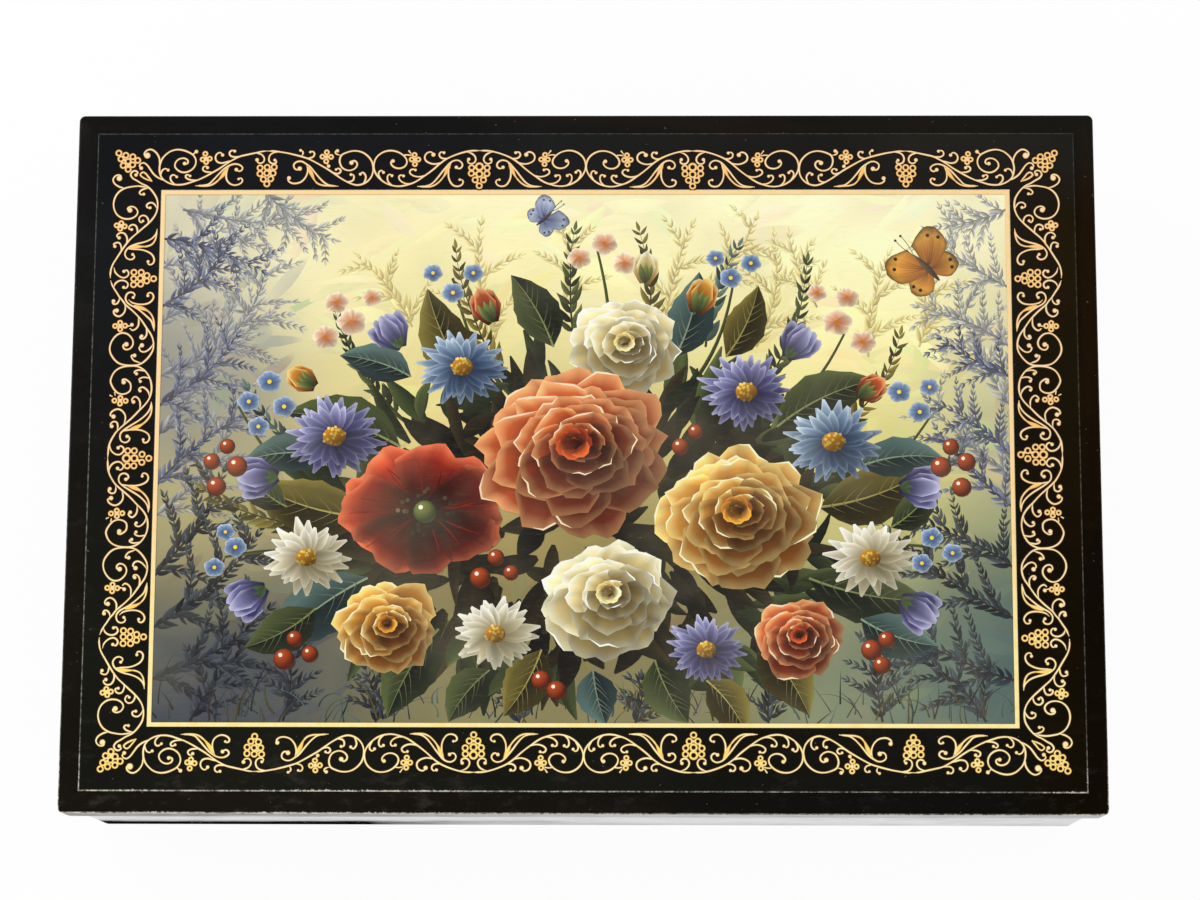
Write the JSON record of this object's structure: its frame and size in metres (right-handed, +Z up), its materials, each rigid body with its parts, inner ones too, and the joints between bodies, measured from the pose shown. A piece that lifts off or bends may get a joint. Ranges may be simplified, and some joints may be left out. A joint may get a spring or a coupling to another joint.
{
  "type": "hinged lacquer box",
  "caption": "Rectangular black lacquered box with a hinged, bevel-framed lid that carries a painted field, and a red-lined room under it for small things.",
  "frame": {"origin": "centre of the underside of the case, on the surface that the box stands on", "axes": "+X to the right along the long side, +Y to the back where the hinges are, +Z up"},
  "size_m": [0.203, 0.1396, 0.05],
  "materials": {
    "black_lacquer": "gloss black lacquer over light wood board, pale where the arrises are rubbed",
    "red_lacquer": "satin red lacquer over thin wood board",
    "painted_sheet": "thin card with a printed picture under clear gloss lacquer",
    "brass": "lightly tarnished drawn brass",
    "gold_paint": "pale gold paint, printed or brushed in thin lines under clear lacquer"
  },
  "bodies": {
    "case": {"front_wall": "black_lacquer", "back_wall": "black_lacquer", "left_wall": "black_lacquer", "right_wall": "black_lacquer", "bottom_panel": "black_lacquer", "front_liner": "red_lacquer", "back_liner": "red_lacquer", "left_liner": "red_lacquer", "right_liner": "red_lacquer", "floor_card": "red_lacquer", "left_hinge_case_leaf": "brass", "right_hinge_case_leaf": "brass", "left_hinge_pin": "brass", "right_hinge_pin": "brass", "case_hinge_screws": "brass"},
    "lid": {"lid_front_rail": "black_lacquer", "lid_back_rail": "black_lacquer", "lid_left_rail": "black_lacquer", "lid_right_rail": "black_lacquer", "lid_field_panel": "black_lacquer", "lid_lining": "red_lacquer", "picture_sheet": "painted_sheet", "left_hinge_lid_leaf": "brass", "right_hinge_lid_leaf": "brass", "lid_hinge_screws": "brass"}
  },
  "joints": [
    {"name": "lid_hinge", "type": "hinge", "parent": "case", "child": "lid", "pos_m": [0, 0.06785, 0.0395], "axis": [-1, 0, 0], "range_deg": [0, 95]}
  ]
}
